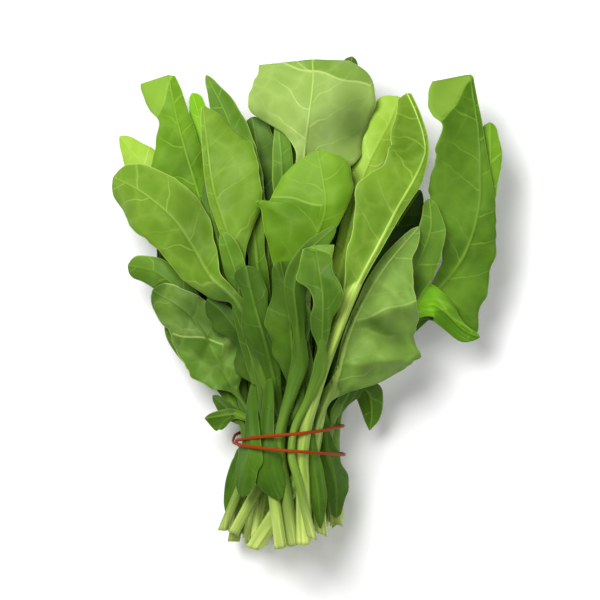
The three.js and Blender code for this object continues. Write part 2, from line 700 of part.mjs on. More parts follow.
// The outline that the stalks need inside the band, as the furthest reach in every direction.
function waistReach(allStations) {
  const points = [];
  for (const stations of allStations) {
    eachFacet(stations, (a, b, c) => {
      eachCell(a, b, c, (cell, u, v, w) => {
        const y = Math.floor(cell / MAP_SIZE[0]) * CELL + MAP_CORNER[1];
        const x = (cell % MAP_SIZE[0]) * CELL + MAP_CORNER[0];
        const inBand = Math.abs(x - WAIST_AXIS) < WAIST_HALF_WIDTH + STALK_RADIUS;
        if (inBand && Math.abs(y - WAIST_Y) < BAND_STRAY + 3 * BAND_RADIUS) {
          points.push([x, facetHeight(a, b, c, u, v, w, 1)]);
          points.push([x, facetHeight(a, b, c, u, v, w, -1)]);
        }
      });
    });
  }
  return points;
}

class BandCurve extends THREE.Curve {
  constructor(points) {
    super();
    this.points = points;
    const [xs, zs] = [0, 1].map((axis) => points.map((point) => point[axis]));
    this.middle = [xs, zs].map((values) => (Math.min(...values) + Math.max(...values)) / 2);
  }

  getPoint(t) {
    const turn = t * Math.PI * 4;
    const normal = [Math.cos(turn), Math.sin(turn)];
    let best = this.points[0];
    for (const point of this.points) {
      if (point[0] * normal[0] + point[1] * normal[1] > best[0] * normal[0] + best[1] * normal[1]) {
        best = point;
      }
    }
    const seenAt = Math.atan2(best[1] - this.middle[1], best[0] - this.middle[0]);
    const around = seenAt + 2 * Math.PI * Math.round((turn - seenAt) / (2 * Math.PI));
    const cross = around / 2 + BAND_CROSSING;
    const off = BAND_RADIUS + AIR_GAP + 1.15 * BAND_RADIUS * (1 + Math.cos(cross));
    return new THREE.Vector3(
      best[0] + off * normal[0],
      WAIST_Y + BAND_STRAY * Math.sin(cross),
      best[1] + off * normal[1],
    );
  }
}

const group = new THREE.Group();
group.name = "spinach_bunch";

const hiddenLeaves = Array.from({ length: HIDDEN_LEAVES }, (_, index) => hiddenLeaf(index));
const stalked = [...SEEN_LEAVES, ...hiddenLeaves].map(placed);
giveWaistPlaces(stalked);
const leaves = [...stalked, ...TUCKED_LEAVES.map(placed)].sort((a, b) => a.depth - b.depth);
const allStations = [];
for (const leaf of leaves) {
  const stations = leafStations(leaf);
  thickenSlopes(stations);
  layOnPile(stations);
  allStations.push(stations);
  const shade = clamp(0.5 + 0.4 * leaf.depth, 0.2, 0.95);
  const color = new THREE.Color(INNER_GREEN).lerp(new THREE.Color(TOP_GREEN), shade);
  const material = new THREE.MeshStandardMaterial({ color, roughness: 0.5, metalness: 0 });
  const mesh = new THREE.Mesh(leafGeometry(stations), material);
  mesh.name = leaf.name;
  group.add(mesh);
}

const bandCurve = new BandCurve(waistReach(allStations));
const bandMaterial = new THREE.MeshStandardMaterial({ color: BAND_RED, roughness: 0.45, metalness: 0 });
const bandTube = new THREE.TubeGeometry(bandCurve, BAND_SEGMENTS, BAND_RADIUS, BAND_SIDES, true);
const band = new THREE.Mesh(bandTube, bandMaterial);
band.name = "elastic_band";
group.add(band);

// The origin is at the middle of the bunch, on the surface it lies on
const box = new THREE.Box3().setFromObject(group);
const middle = box.getCenter(new THREE.Vector3());
for (const mesh of group.children) {
  mesh.geometry.translate(-middle.x, -middle.y, -box.min.z);
}

export default group;
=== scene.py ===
# A bunch of spinach lying on its back: waved leaves fan out from stalks that an elastic band ties together.
import math

import bpy
import numpy as np
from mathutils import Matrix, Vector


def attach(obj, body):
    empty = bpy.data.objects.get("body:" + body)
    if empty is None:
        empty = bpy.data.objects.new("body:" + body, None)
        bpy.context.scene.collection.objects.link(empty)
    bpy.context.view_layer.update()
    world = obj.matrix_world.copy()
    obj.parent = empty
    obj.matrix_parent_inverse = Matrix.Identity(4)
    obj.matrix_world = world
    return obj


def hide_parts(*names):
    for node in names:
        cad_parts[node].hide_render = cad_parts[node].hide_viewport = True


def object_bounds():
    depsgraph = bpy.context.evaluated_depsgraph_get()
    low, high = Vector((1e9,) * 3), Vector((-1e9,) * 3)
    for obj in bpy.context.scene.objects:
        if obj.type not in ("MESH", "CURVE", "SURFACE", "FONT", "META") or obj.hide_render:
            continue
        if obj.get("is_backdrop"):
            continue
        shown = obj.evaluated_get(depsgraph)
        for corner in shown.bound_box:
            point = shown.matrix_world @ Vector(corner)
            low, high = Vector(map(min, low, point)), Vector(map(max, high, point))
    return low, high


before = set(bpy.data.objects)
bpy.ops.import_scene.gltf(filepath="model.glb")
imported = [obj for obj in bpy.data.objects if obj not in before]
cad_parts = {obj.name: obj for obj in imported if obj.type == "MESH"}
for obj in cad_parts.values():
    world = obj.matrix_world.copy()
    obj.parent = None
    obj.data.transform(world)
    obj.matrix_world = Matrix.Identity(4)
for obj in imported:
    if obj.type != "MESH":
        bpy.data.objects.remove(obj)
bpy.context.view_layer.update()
scene = bpy.context.scene


# How each leaf lies. A leaf grew as one piece, a fleshy stalk that runs on as the midrib of a thin blade.
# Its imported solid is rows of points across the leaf, from the cut end to the tip, and the finer leaf is
# drawn through those points, so it lies where the solid lies.
def leaf_rows(name):
    """A leaf's points as two grids, its upper and its lower face. Points above one another share a spot in
    plan, and the plan's edges form a grid: its four corners have the fewest neighbours, its first row is
    the shortest way between the two corners at the cut end, and every next row lies one edge further on."""
    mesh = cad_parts[name].data
    place = np.empty(3 * len(mesh.vertices), np.float32)
    mesh.vertices.foreach_get("co", place)
    place = place.reshape(-1, 3).astype(float)
    mesh.calc_loop_triangles()
    facet = np.empty(3 * len(mesh.loop_triangles), np.int32)
    mesh.loop_triangles.foreach_get("vertices", facet)
    plan, spot = np.unique(np.round(place[:, :2], 6), axis=0, return_inverse=True)
    spot = spot.ravel()
    high = np.full(len(plan), -np.inf)
    np.maximum.at(high, spot, place[:, 2])
    low = np.full(len(plan), np.inf)
    np.minimum.at(low, spot, place[:, 2])

    near = np.zeros((len(plan), len(plan)), bool)
    ends = spot[facet.reshape(-1, 3)]
    near[ends, np.roll(ends, 1, 1)] = True
    near |= near.T
    np.fill_diagonal(near, False)

    def edges_from(start):
        """How many edges each spot lies from the spots in start."""
        away = np.where(start, 0, -1)
        while (away < 0).any():
            away[near[away >= 0].any(0) & (away < 0)] = away.max() + 1
        return away

    corners = np.flatnonzero(near.sum(1) < 4)
    down = plan[corners, 1] * (-1 if name.startswith("tucked") else 1)
    first, second = corners[np.argsort(down)[:2]]
    spots = np.arange(len(plan))
    between = edges_from(spots == first) + edges_from(spots == second)
    row = edges_from(between == between.min())
    rows = row.max() + 1
    middle = np.array([np.bincount(row, plan[:, axis]) for axis in (0, 1)]).T / np.bincount(row)[:, None]
    heading = np.gradient(middle, axis=0)[row]
    sideways = plan[:, 0] * heading[:, 1] - plan[:, 1] * heading[:, 0]
    grid = np.lexsort((sideways, row)).reshape(rows, -1)
    return np.dstack([plan[grid], high[grid]]), np.dstack([plan[grid], low[grid]])


def drawn_finer(grid, at, axis):
    """Points at fractional steps along one way of a grid, on smooth cubic curves through the grid's points:
    each is the blend of its four neighbours, and the ends run straight on."""
    grid = np.moveaxis(grid, axis, 0)
    padded = np.concatenate([[2 * grid[0] - grid[1]], grid, [2 * grid[-1] - grid[-2]]])
    step = np.clip(np.floor(at).astype(int), 0, len(grid) - 2)
    part = (at - step).reshape(-1, *[1] * (grid.ndim - 1))
    before, here, ahead, beyond = (padded[step + place] for place in range(4))
    bend = (2 * before - 5 * here + 4 * ahead - beyond) * part
    twist = (3 * here - before - 3 * ahead + beyond) * part**2
    return np.moveaxis(here + 0.5 * part * (ahead - before + (bend + twist)), 0, axis)


def eased(value, low, high):
    """0 below low, 1 above high, and an even S-curve between."""
    part = np.clip((value - low) / (high - low), 0, 1)
    return part * part * (3 - 2 * part)


def closed_mesh(name, points, quads, triangles, smooth, **fields):
    """A closed mesh from points and faces, of which the first few are smooth. Each of fields has a value for
    every point: single numbers become an attribute, and pairs become a UV map."""
    mesh = bpy.data.meshes.new(name)
    corners = np.concatenate([quads.ravel(), triangles.ravel()]).astype(np.int32)
    sizes = np.concatenate([np.full(len(quads), 4), np.full(len(triangles), 3)])
    mesh.vertices.add(len(points))
    mesh.vertices.foreach_set("co", points.ravel().astype(np.float32))
    mesh.loops.add(len(corners))
    mesh.loops.foreach_set("vertex_index", corners)
    mesh.polygons.add(len(sizes))
    mesh.polygons.foreach_set("loop_start", np.concatenate([[0], np.cumsum(sizes)[:-1]]).astype(np.int32))
    mesh.polygons.foreach_set("use_smooth", np.arange(len(sizes)) < smooth)
    for field, value in fields.items():
        if value.ndim == 2:
            layer = mesh.uv_layers.new(name=field)
            layer.uv.foreach_set("vector", value[corners].ravel().astype(np.float32))
        else:
            layer = mesh.attributes.new(field, "FLOAT", "POINT")
            layer.data.foreach_set("value", value.astype(np.float32))
    mesh.update(calc_edges=True)
    piece = bpy.data.objects.new(name, mesh)
    scene.collection.objects.link(piece)
    return piece


# The finer leaf: a fleshy stalk cut off at a slant, a raised midrib, and a thin blade that swells between
# its veins and is waved, wrinkled, folded and dented from growing and packing. Lengths are in metres, and
# the UV map holds decimetres, across from the midrib and along from the cut end.
millimetres, decimetres = 1000, 10  # in a metre
row_step = 0.0018
column_step = 0.0017
least_half_columns = 7
crowding = 0.3  # how far the columns are drawn in towards the midrib
blade_half_thickness = 0.00026
least_thickness = 0.0003
floor_gap = 0.00005
edge_width = 0.002  # over which the blade thins to its margin
edge_share = 0.4
lip_share = 0.7  # how far a margin stands out, in half thicknesses
rib_half_width = 0.0019
rib_taper = 0.72
rib_tapers_from = 0.25  # of the way along the leaf
stalk_half_width = 0.006
blade_starts = (3.5, 7)  # the leaf's width in half ribs, where the stalk ends and where it is all blade
narrow_widths = (0.013, 0.026)
cut_slant = 0.8
cut_length = 0.009
vein_gap = 0.021
vein_slope = 0.7
swell_height = 0.0003
swell_start = (0.001, 0.01)  # out from the midrib
swell_edge = 0.006  # in from the margin
frill_height = 0.0006
frill_length = 0.019
frill_edge = 0.012  # in from the margin
frill_widths = (0.012, 0.04)  # the leaf's width where its margin lies still and where it ripples most
frill_stray, frill_stray_rate = 2, 70
seed_spread = 10  # between the leaves' own numbers

# Its margin: smooth, ragged or torn by how deep its lobes and teeth are, and a round or a blunt tip
smooth_wave, ragged_wave, torn_wave = 0.0004, 0.0009, 0.0026
lobe_length, lobe_stray = 0.0047, 0.011
tooth_length, tooth_stray = 0.0019, 0.006
tooth_share = 0.3
lobed_reach = (0.006, 0.014)
least_reach = 0.004
tip_radius = 0.008
blunt_radius = 0.002
tip_roundness = 0.98
ragged_leaves = ("leaf_right_big", "leaf_right_low", "leaf_low_left", "leaf_centre_low", "leaf_fold_left",
                 "leaf_fold_right", "leaf_left_inner", "leaf_centre_left", "leaf_left_small")
torn_leaves = ("tucked_leaf_far_left", "tucked_leaf_left", "tucked_leaf_inner", "tucked_leaf_mid",
               "tucked_leaf_narrow", "tucked_leaf_right", "leaf_low_sprout")
blunt_leaves = ("leaf_top", "leaf_left_tall", "leaf_right_big", "leaf_fold_right", "leaf_right_tall",
                "tucked_leaf_left", "tucked_leaf_mid", "tucked_leaf_right")


def margin_stretch(name, side, left, reach, draw):
    """How far out from its midrib each point is stretched. side runs from -1 to 1 across the leaf, left is
    the length left to the tip, and reach is that from midrib to margin. Lobes and teeth are sines of left,
    their phase strayed by a slower sine, and grow as the cube of side. The tip is part of an ellipse."""
    start = draw.uniform(0, 6, 4)[:, None] + 2 * np.sign(side)
    lobes = np.sin(left / lobe_length + start[0] + np.sin(left / lobe_stray + start[1]))
    teeth = np.sin(left / tooth_length + start[2] + np.sin(left / tooth_stray + start[3]))
    wave = torn_wave if name in torn_leaves else ragged_wave if name in ragged_leaves else smooth_wave
    uneven = wave * (lobes + tooth_share * teeth) * eased(reach, *lobed_reach)
    turned = 1 - np.clip(left / (blunt_radius if name in blunt_leaves else tip_radius), 0, 1)
    return (1 + uneven / reach * np.abs(side) ** 3) * np.sqrt(1 - tip_roundness * turned**2)


# Its wrinkles: how high each kind stands, how much of that the crown has and how much more the stalks, and
# where a leaf is limp enough for them: by its width, its place along the bunch and its height off the floor
soft_height, short_height, ridge_height, furrow_height = 0.0005, 0.0003, 0.002, 0.0018
mean_fold = 0.64  # of a sine folded at its middle
crown_share, stalk_share = 0.45, 0.75
crown_rise = (-0.02, 0.07)
stiff_share = 0.15
limp_widths = (0.012, 0.03)
limp_places = (-0.08, -0.03)
limp_heights = (0.001, 0.006)


def crumple(x, y):
    """Wrinkles that all leaves share, so that leaves lying on one another stay clear: soft and short waves,
    and sharp ridges and furrows where a wave is folded at its middle. A wave is a sine that runs slantwise,
    in radians per metre, some of them bent by a slower sine."""
    soft = np.sin(150 * x + 45 * y + 0.6) + np.sin(120 * y - 140 * x + 2.1)
    short = np.sin(420 * x - 260 * y + 4 + 1.5 * np.sin(90 * y)) + np.sin(330 * y + 240 * x)
    ridge = mean_fold - np.abs(np.sin(105 * x + 62 * y + 1.6 * np.sin(45 * y)))
    furrow = np.abs(np.sin(85 * y - 120 * x + 1.4 * np.sin(60 * x) + 1)) - mean_fold
    depth = crown_share + stalk_share * (1 - eased(y, *crown_rise))
    waves = soft_height * soft + short_height * short + ridge_height * ridge + furrow_height * furrow
    return depth * waves


# Where a leaf is folded over: the two ends of the fold in plan and how high it stands, in millimetres, and
# how much paler the blade is beyond it: on the left of the way from the first end to the second, or on the
# right where that is negative
folds = {
    "leaf_top": [((40, 129), (-29, 147), 2.5, 0.3)],
    "leaf_left_tall": [((-79, 137), (-89, 110), 2.5, -0.6)],
    "leaf_right_big": [((100, 135), (82, 108), 3.0, -0.9)],
    "leaf_centre": [((-26, 65), (10, 58), 2.0, 0.2)],
    "leaf_low_left": [((-94, 7), (-79, -19), 3.0, 0), ((-80, -18), (-49, -24), 2.0, 0.1)],
    "leaf_right_low": [((31, -10), (72, 4), 5.0, 0.1), ((40, -17), (70, -24), -5.0, 0),
                       ((26, -36), (62, -34), 4.5, 0), ((52, 22), (66, 2), 3.0, 0)],
    "leaf_right_curl": [((68, -3), (84, -4), 3.0, 0.2), ((84, -4), (100, -18), 3.0, 0.2)],
    "leaf_fold_right": [((-4, 37), (15, 28), 3.0, 0.3), ((3, 40), (6, 10), -2.5, 0)],
    "leaf_centre_low": [((-20, 30), (-6, -8), 2.5, 0), ((-12, 22), (2, 8), -2.0, 0)],
    "leaf_left_inner": [((-58, 2), (-42, -12), 2.5, 0)],
    "leaf_centre_left": [((-36, 20), (-24, -25), 2.5, 0)],
}
fold_sway, fold_sway_length = 0.0008, 0.004
fold_end_fade = 0.008
fold_slope_length = 0.006
pale_edge = (-0.0004, 0.0006)
no_fold_near = 0.09


def fold_lines(name, x, y):
    """How far each point is from its leaf's nearest pale fold, how high the folds lift it, and how pale it
    is: a fold is a sharp ridge that falls off on both sides as the exponential of the distance."""
    nearest, lift, pale = np.full_like(x, no_fold_near), 0 * x, 0 * x
    for start, end, height, paler in folds.get(name, []):
        start, end = np.array(start) / millimetres, np.array(end) / millimetres
        way = (end - start) / np.linalg.norm(end - start)
        along = (x - start[0]) * way[0] + (y - start[1]) * way[1]
        sway = fold_sway * np.sin(along / fold_sway_length)
        off = (y - start[1]) * way[0] - (x - start[0]) * way[1] + sway
        past = np.maximum(np.maximum(-along, along - np.linalg.norm(end - start)), 0)
        inside = np.exp(-((past / fold_end_fade) ** 2))
        lift += height / millimetres * inside * np.exp(-np.abs(off) / fold_slope_length)
        if paler:
            pale += abs(paler) * inside * eased(off * np.sign(paler), *pale_edge)
            apart = np.where(past > 0, np.abs(off) + past, off)
            nearest = np.where(np.abs(apart) < np.abs(nearest), apart, nearest)
    return nearest, lift, np.clip(pale, 0, 1)


# The leaves that were crushed in packing, and how far their creases stand up, in millimetres
crushed = {"leaf_right_low": 5.0, "leaf_fold_right": 3.0, "leaf_centre_low": 2.0, "leaf_low_left": 2.5,
           "leaf_left_inner": 2.0, "leaf_right_big": 1.0, "leaf_fold_left": 0.8, "leaf_top": 2.0}
crushed_reach = (0.004, 0.016)  # out from the midrib, which stays straight
facet_gaps = (0.021, 0.027)
facet_bend = 0.004


def facets(x, y):
    """Flat facets that meet in sharp creases, 0 to 1: two slanting triangle waves, bent by a slow sine."""
    bend = facet_bend * np.sin(90 * x + 60 * y)
    first = (0.8 * x + 0.6 * y + bend) / facet_gaps[0]
    second = (0.87 * y - 0.5 * x - bend) / facet_gaps[1]
    return np.abs(first % 1 - 0.5) + np.abs(second % 1 - 0.5)


# Where a leaf is dented and darkened by painted shade in the dent: its middle in plan and its radius, in
# millimetres, and how dark the painted shade is
hollows = {
    "leaf_top": [((30, 106), 16, 0.75), ((8, 99), 13, 0.5), ((27, 121), 13, 0.25), ((-26, 110), 8, 0.5)],
    "leaf_left_tall": [((-72, 83), 14, 0.35)],
    "leaf_left_big": [((-66, 36), 14, 0.35), ((-64, 58), 15, 0.45)],
    "leaf_left_centre": [((-44, 62), 10, 0.25), ((-44, 30), 10, 0.3)],
    "leaf_centre": [((-9, 48), 16, 0.4)],
    "leaf_right_tall": [((57, 100), 10, 0.3), ((40, 59), 12, 0.2)],
    "leaf_right_big": [((99, 83), 20, 0.25)],
    "leaf_right_low": [((54, -21), 8, 0.8), ((43, -11), 6, 0.6), ((36, -40), 6, 0.4)],
    "leaf_right_inner": [((72, 32), 12, 0.4)],
    "leaf_low_left": [((-69, -3), 12, 0.65), ((-60, -16), 8, 0.4)],
    "leaf_left_inner": [((-46, -1), 10, 0.6), ((-38, -24), 9, 0.5)],
    "leaf_centre_low": [((-18, 14), 9, 0.4), ((-8, -12), 8, 0.5)],
    "leaf_centre_left": [((-24, -22), 10, 0.5), ((-36, 12), 7, 0.4)],
    "leaf_fold_right": [((10, 18), 12, 0.4)],
    "tucked_leaf_inner": [((-22, -106), 14, 0.45)],
}
dent_depth = 0.0008


def dent_and_shade_at(name, x, y):
    """How deep each point lies in its leaf's dents, and how strong its painted shade is there, 0 to 1: the
    sum of bells about their middles.
    """
    deep = 0 * x
    for (across, along), radius, dark in hollows.get(name, []):
        off = np.hypot(millimetres * x - across, millimetres * y - along) / radius
        deep += dark * np.exp(-(off**2))
    return np.clip(deep, 0, 1)


def leaf_shell(upper, lower, lip):
    """One closed skin through a grid of points on each face and a column of points on each margin: a ring
    round every row, and the first and last rows shut. Gives its points, quads and triangles, how many of the
    quads are walls, and the column that each point of a ring lies on."""
    rows, wide = upper.shape[:2]
    ring = np.concatenate([lip[:, :1], upper, lip[:, 1:], lower[:, ::-1]], axis=1)
    column = np.concatenate([[0], np.arange(wide), [wide - 1], np.arange(wide)[::-1]])
    around = ring.shape[1]
    index = np.arange(rows * around).reshape(rows, around)
    beside = np.roll(index, -1, 1)
    walls = np.stack([index[:-1], beside[:-1], beside[1:], index[1:]], axis=-1).reshape(-1, 4)
    top_row, low_row = np.arange(1, wide + 1), around - 1 - np.arange(wide)
    shut = np.stack([top_row[:-1], low_row[:-1], low_row[1:], top_row[1:]], axis=-1)
    shut_ends = np.array([[0, low_row[0], top_row[0]], [wide + 1, top_row[-1], low_row[-1]]])
    last = index[-1, 0]
    quads = np.concatenate([walls, shut, last + shut[:, ::-1]])
    triangles = np.concatenate([shut_ends, last + shut_ends[:, ::-1]])
    return ring.reshape(-1, 3), quads, triangles, len(walls), column


def finer_leaf(name, seed):
    """The leaf's middle surface drawn finer through its rows, stretched to its margin and slanted at its cut
    end, then lifted by wrinkles, folds, creases and dents, by the swelling between veins, which lie at equal
    along - slope x across, and by the ripple of its margin. Half the thickness carries it to both faces
    along its normal: the stalk's own, or the blade's plus a bell-shaped midrib. Across and along are lengths
    on the leaf from its midrib and its cut end."""
    upper, lower = leaf_rows(name)
    middle, half = (upper + lower) / 2, (upper - lower)[..., 2] / 2
    rows, columns = half.shape
    spans = np.linalg.norm(np.diff(middle, axis=1), axis=2).sum(1)
    length = np.linalg.norm(np.diff(middle[:, columns // 2], axis=0), axis=1).sum()
    fine_rows = int(np.ceil(length / row_step)) + 1
    fine_half = max(least_half_columns, int(np.ceil(spans.max() / column_step / 2)))
    even = np.linspace(-1, 1, 2 * fine_half + 1)
    row_at = np.linspace(0, rows - 1, fine_rows)
    column_at = ((1 - crowding) * even + crowding * even * np.abs(even) + 1) * (columns - 1) / 2
    middle = drawn_finer(drawn_finer(middle, row_at, 0), column_at, 1)
    solid_half = drawn_finer(drawn_finer(half, row_at, 0), column_at, 1)
    rib_half = solid_half[:, fine_half : fine_half + 1]
    spine = middle[:, fine_half : fine_half + 1]
    left = length * (1 - row_at / (rows - 1))[:, None]
    reach = np.linalg.norm(middle - spine, axis=2)
    reach = np.maximum(np.where(even < 0, reach[:, :1], reach[:, -1:]), least_reach)
    draw = np.random.default_rng(seed)
    middle = spine + (middle - spine) * margin_stretch(name, even, left, reach, draw)[..., None]

    gaps = np.linalg.norm(np.diff(middle, axis=1), axis=2)
    across = np.concatenate([np.zeros((fine_rows, 1)), np.cumsum(gaps, axis=1)], axis=1)
    margin = np.minimum(across, across[:, -1:] - across)
    across = across - across[:, fine_half : fine_half + 1]
    steps = np.linalg.norm(np.diff(middle[:, fine_half], axis=0), axis=1)
    along = np.concatenate([[0], np.cumsum(steps)])[:, None] + 0 * across
    width = across[:, -1:] - across[:, :1]
    blade = np.maximum.accumulate(eased(width / rib_half, *blade_starts))
    slant = draw.uniform(-cut_slant, cut_slant) * across * (1 - eased(along, 0, cut_length))
    heading = (spine[1] - spine[0]) / np.linalg.norm(spine[1] - spine[0])
    middle = middle + (1 - blade)[..., None] * slant[..., None] * heading

    phase = draw.uniform(0, 1)
    out = np.abs(across)
    vein = (along - vein_slope * out) / vein_gap + np.where(across > 0, 0.5, 0) + phase
    swell = np.cos(2 * np.pi * vein) * eased(out, *swell_start) * eased(margin, 0, swell_edge)
    stray = frill_stray * np.sin(along * frill_stray_rate + 9 * phase)
    ripple = np.sin(along * 2 * np.pi / frill_length + stray + np.where(across > 0, 2, 0))
    frill = ripple * eased(width, *frill_widths) * (1 - eased(margin, 0, frill_edge)) ** 2
    limp = stiff_share + (1 - stiff_share) * eased(width, *limp_widths)
    limp = limp * eased(middle[..., 1], *limp_places) * eased(middle[..., 2], *limp_heights)
    middle[..., 2] += limp * crumple(middle[..., 0], middle[..., 1])
    fold, lift, pale = fold_lines(name, middle[..., 0], middle[..., 1])
    # How deep each point lies in a dent: it lowers the blade, and the pattern paints shade there
    hollow = dent_and_shade_at(name, middle[..., 0], middle[..., 1])
    crease = crushed.get(name, 0) / millimetres * facets(middle[..., 0], middle[..., 1])
    lift = lift + crease * eased(out, *crushed_reach) - dent_depth * hollow
    middle[..., 2] += blade * (swell_height * swell + frill_height * frill + lift)

    normal = np.cross(np.gradient(middle, axis=1), np.gradient(middle, axis=0))
    normal /= np.linalg.norm(normal, axis=2, keepdims=True)
    thin = blade_half_thickness * np.minimum(1, edge_share + margin / edge_width)
    rib_width = rib_half_width * (1 - rib_taper * eased(along / along[-1, 0], rib_tapers_from, 1))
    ribbed = thin + np.maximum(rib_half - blade_half_thickness, 0) * np.exp(-((across / rib_width) ** 2))
    thickness = ribbed * blade + solid_half * normal[..., 2] * (1 - blade)
    upper = middle + normal * thickness[..., None]
    lower = middle - normal * thickness[..., None]
    lower[..., 2] = np.maximum(lower[..., 2], floor_gap)
    upper[..., 2] = np.maximum(upper[..., 2], lower[..., 2] + least_thickness)
    side = middle[:, [0, -1]] - middle[:, [1, -2]]
    side /= np.linalg.norm(side, axis=2, keepdims=True)
    lip = middle[:, [0, -1]] + side * lip_share * thickness[:, [0, -1], None]
    lip[..., 2] = np.maximum(lip[..., 2], 2 * floor_gap)
    points, quads, triangles, walls, column = leaf_shell(upper, lower, lip)

    def rim(field):
        """A field's value all round each row, upper face then lower."""
        return (field + 0 * across)[:, column].ravel()

    piece = closed_mesh(
        name + "_veined",
        points,
        quads,
        triangles,
        walls,
        leaf=np.stack([rim(across), rim(along)], axis=1) * decimetres,
        rib=rim(decimetres * (rib_width * blade + stalk_half_width * (1 - blade))),
        margin=rim(millimetres * margin),
        stalk=rim(1 - blade),
        narrow=rim(1 - eased(width, *narrow_widths)),
        fold=rim(millimetres * fold),
        pale=rim(pale),
        hollow=rim(hollow),
        seed=rim(np.full_like(across, seed_spread * phase)),
    )
    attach(piece, "root")
    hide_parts(name)
    return piece


# What a leaf looks like: a green blade with a pale midrib, pale side veins and a fine net between them, and
# a pale fleshy stalk with lengthways fibres. Leaves differ in how green and how lit they are, so they share
# one pattern and each look gives it its own greens.
def shade(red, green, blue):
    """A colour given as 0 to 255 on screen, as light, by the sRGB curve."""
    part = np.array([red, green, blue]) / 255
    light = np.where(part < 0.04045, part / 12.92, ((part + 0.055) / 1.055) ** 2.4)
    return (*light, 1)


shaded_green = shade(58, 90, 20)
streak_green = shade(44, 74, 14)
# painted shade for a leaf's dents
hollow_green = shade(22, 50, 2)


def node(tree, kind, *values, out=0, **settings):
    """A new shader node's output, with its settings by name and its inputs, links or values, in order."""
    made = tree.nodes.new("ShaderNode" + kind)
    for setting, value in settings.items():
        setattr(made, setting, value)
    sockets = [socket for socket in made.inputs if socket.enabled]
    for socket, value in zip(sockets, values):
        if isinstance(value, bpy.types.NodeSocket):
            tree.links.new(value, socket)
        elif value is not None:
            socket.default_value = value
    return made.outputs[out]


def sums(tree, operation, *values):
    """A Math node's result."""
    return node(tree, "Math", *values, operation=operation)


def between(tree, value, low, high, start=0.0, end=1.0):
    """start where value is at low, end where it is at high, and an S-curve between."""
    return node(tree, "MapRange", value, low, high, start, end, interpolation_type="SMOOTHSTEP")


def tint(tree, amount, first, second):
    """One colour over another by amount."""
    made = tree.nodes.new("ShaderNodeMix")
    made.data_type = "RGBA"
    for socket, value in zip((made.inputs[0], made.inputs[6], made.inputs[7]), (amount, first, second)):
        if isinstance(value, bpy.types.NodeSocket):
            tree.links.new(value, socket)
        else:
            socket.default_value = value
    return made.outputs[2]


leaf_pattern = bpy.data.node_groups.new("leaf_pattern", "ShaderNodeTree")
for label in ("Blade", "Deep", "Vein", "Stalk", "Cut end"):
    leaf_pattern.interface.new_socket(label, in_out="INPUT", socket_type="NodeSocketColor")
for label in ("Vein strength", "Rib reach"):
    leaf_pattern.interface.new_socket(label, in_out="INPUT", socket_type="NodeSocketFloat")
leaf_pattern.interface.new_socket("Colour", in_out="OUTPUT", socket_type="NodeSocketColor")
for label in ("Roughness", "Height"):
    leaf_pattern.interface.new_socket(label, in_out="OUTPUT", socket_type="NodeSocketFloat")
tree = leaf_pattern

# What the pattern reads from the leaf, and noises over it, each with a place, the leaf's own number, a
# scale, a detail and a roughness
given = tree.nodes.new("NodeGroupInput").outputs
uv = node(tree, "UVMap", uv_map="leaf")
split = node(tree, "SeparateXYZ", uv).node.outputs
down = node(tree, "SeparateXYZ", node(tree, "TexCoord", out="Object"), out=1)
rib, margin, stalk, narrow, seed, fold, pale, hollow = (
    node(tree, "Attribute", attribute_name=field, out="Fac")
    for field in ("rib", "margin", "stalk", "narrow", "seed", "fold", "pale", "hollow")
)
out = sums(tree, "ABSOLUTE", split[0])
side = sums(tree, "SIGN", split[0])
warp = node(tree, "TexNoise", uv, seed, 4.0, 2.0, 0.55, noise_dimensions="4D")
blotch = node(tree, "TexNoise", uv, seed, 2.2, 4.0, 0.6, noise_dimensions="4D")
grain = node(tree, "TexNoise", uv, seed, 55.0, 3.0, 0.6, noise_dimensions="4D")

# Side veins, at even steps of along - slope x across, each moved by chance within its step
gap = decimetres * vein_gap
run = sums(tree, "SUBTRACT", split[1], sums(tree, "MULTIPLY", out, vein_slope))
run = sums(tree, "ADD", run, sums(tree, "MULTIPLY", sums(tree, "SUBTRACT", warp, 0.5), 0.2))
run = sums(tree, "ADD", sums(tree, "DIVIDE", run, gap), sums(tree, "MULTIPLY", side, 0.25))
run = sums(tree, "ADD", run, sums(tree, "MULTIPLY", seed, 1 / seed_spread))
cell = node(tree, "CombineXYZ", sums(tree, "FLOOR", run), side, seed)
chance = node(tree, "TexWhiteNoise", cell, noise_dimensions="3D")
moved = sums(tree, "ADD", 0.25, sums(tree, "MULTIPLY", chance, 0.5))
off = sums(tree, "SUBTRACT", sums(tree, "FRACT", run), moved)
away = sums(tree, "MULTIPLY", sums(tree, "ABSOLUTE", off), gap * 0.82)
vein_half = between(tree, out, 0.0, 0.3, 0.0075, 0.003)
vein = between(tree, sums(tree, "DIVIDE", away, vein_half), 0.2, 1.0, 1.0, 0.0)
vein = sums(tree, "MULTIPLY", vein, between(tree, out, 0.04, 0.34, 1.0, 0.25))
vein = sums(tree, "MULTIPLY", vein, between(tree, chance, 0.05, 0.6, 0.35, 1.0))
vein = sums(tree, "MULTIPLY", vein, sums(tree, "SUBTRACT", 1.0, stalk))

# The fine net between the veins
stray = node(tree, "TexNoise", uv, seed, 9.0, 1.0, 0.5, noise_dimensions="4D", out=1)
stray = node(tree, "VectorMath", stray, (0.07, 0.07, 0.07), operation="MULTIPLY")
stray = node(tree, "VectorMath", uv, stray, operation="ADD")
cells = node(tree, "TexVoronoi", stray, None, 14.0, voronoi_dimensions="2D", feature="DISTANCE_TO_EDGE")
net = between(tree, cells, 0.0, 0.1, 1.0, 0.0)

# The midrib and stalk, a painted highlight along the margin where it catches the light, and the folds
ribbed = between(tree, sums(tree, "DIVIDE", out, rib), 0.45, 1.15, 1.0, 0.0)
margin_highlight = between(tree, margin, 0.1, 0.7, 1.0, 0.0)
crease = between(tree, sums(tree, "ABSOLUTE", fold), 0.15, 0.9, 1.0, 0.0)

